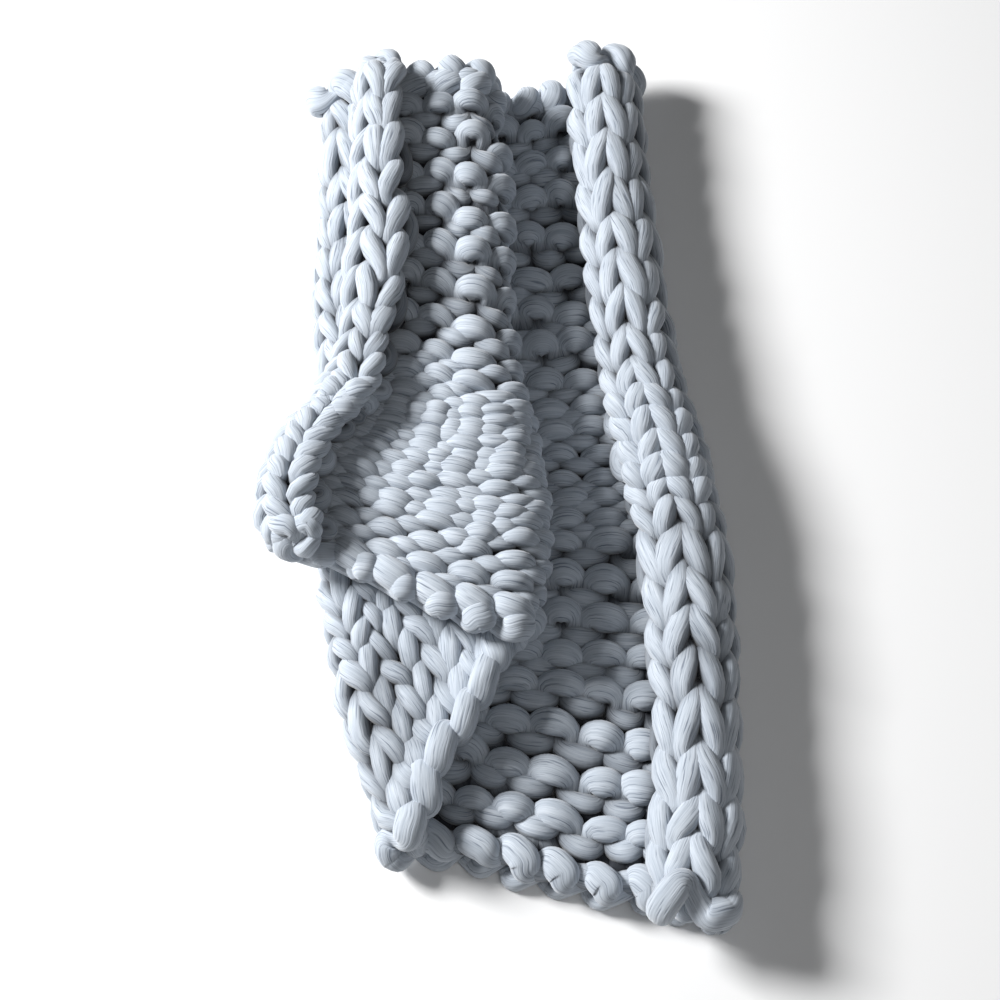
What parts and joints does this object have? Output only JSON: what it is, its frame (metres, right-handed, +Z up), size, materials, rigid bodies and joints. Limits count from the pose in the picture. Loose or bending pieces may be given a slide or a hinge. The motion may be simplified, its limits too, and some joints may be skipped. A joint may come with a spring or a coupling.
{
  "type": "chunky knit blanket",
  "caption": "Chunky wool throw in thick stocking stitch, folded lengthways in a flat zigzag of layers with both selvages curled into rolls.",
  "frame": {"origin": "middle of the folded blanket's footprint, on the surface it lies on", "axes": "+Z up, +Y along the folds towards the cast-off edge, +X towards the wide selvage roll on the bottom layer"},
  "size_m": [0.5346, 1.0829, 0.17],
  "materials": {
    "wool": "matt, softly felted unspun wool with fine darker fibres along the strand"
  },
  "bodies": {
    "root": {"knit_blanket": "wool"}
  },
  "joints": []
}
